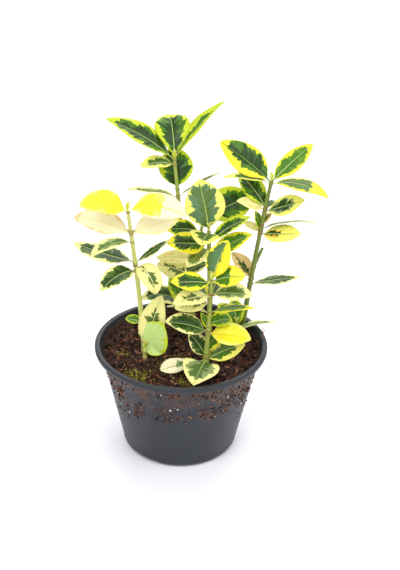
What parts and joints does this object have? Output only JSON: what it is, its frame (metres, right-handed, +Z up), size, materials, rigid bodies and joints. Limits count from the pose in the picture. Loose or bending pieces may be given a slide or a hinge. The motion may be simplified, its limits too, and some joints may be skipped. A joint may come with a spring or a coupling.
{
  "type": "potted euonymus shrub",
  "caption": "Young evergreen shrub with variegated leaves on upright green stems, growing in a round tapered nursery pot filled with peat",
  "frame": {"origin": "Centre of the pot's flat underside", "axes": "+Z up, -Y towards the front of the plant, +X to its right as seen from the front"},
  "size_m": [0.1717, 0.12, 0.2392],
  "materials": {
    "pot_plastic": "matt anthracite plastic",
    "peat": "dark fibrous peat",
    "bark": "smooth green bark",
    "foliage": "leathery green and yellow leaves"
  },
  "bodies": {
    "root": {"pot": "pot_plastic", "peat": "peat", "stem_left": "bark", "mass_left_middle": "foliage", "mass_left_top": "foliage", "stem_front": "bark", "mass_front_low": "foliage", "mass_front_top": "foliage", "stem_middle": "bark", "mass_middle": "foliage", "stem_inner": "bark", "mass_inner_low": "foliage", "mass_inner_top": "foliage", "stem_back": "bark", "mass_back_low": "foliage", "bough_back": "bark", "mass_back_middle": "foliage", "mass_back_top": "foliage", "stem_right": "bark", "mass_right_low": "foliage", "mass_right_top": "foliage", "stem_low_left": "bark", "mass_low_left": "foliage", "stem_low_right": "bark", "mass_low_right": "foliage"}
  },
  "joints": []
}
